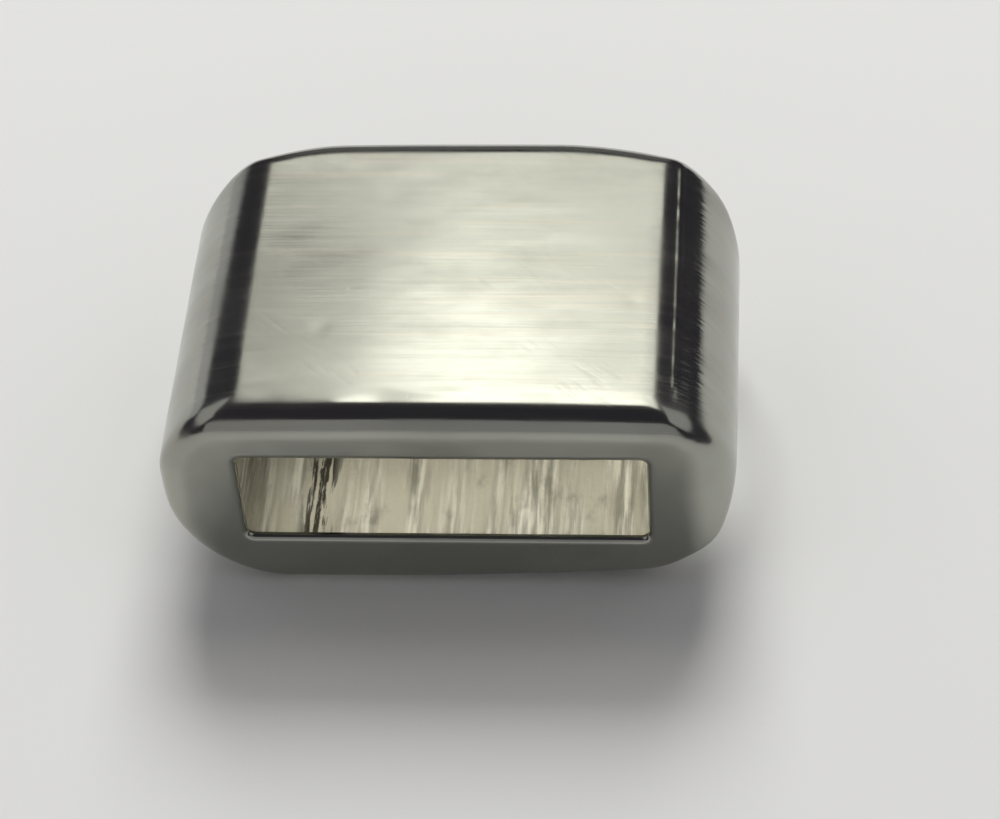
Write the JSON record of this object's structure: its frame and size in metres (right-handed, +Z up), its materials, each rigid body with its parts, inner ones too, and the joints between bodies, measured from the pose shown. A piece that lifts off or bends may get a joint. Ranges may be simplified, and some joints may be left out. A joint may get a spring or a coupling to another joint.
{
  "type": "strap slider loop",
  "caption": "Thick one-piece metal loop with a flat top, swelling rounded ends and a wide rectangular passage that keeps a strap end flat.",
  "frame": {"origin": "middle of the underside, on the surface that the loop stands on", "axes": "+X across the strap, +Y along the strap, +Z up through the thickness, from the underside to the flat top"},
  "size_m": [0.0286, 0.0206, 0.0122],
  "materials": {
    "nickel_plate": "polished nickel plate over cast zinc, rougher as-cast inside the passage"
  },
  "bodies": {
    "root": {"slider_body": "nickel_plate"}
  },
  "joints": []
}
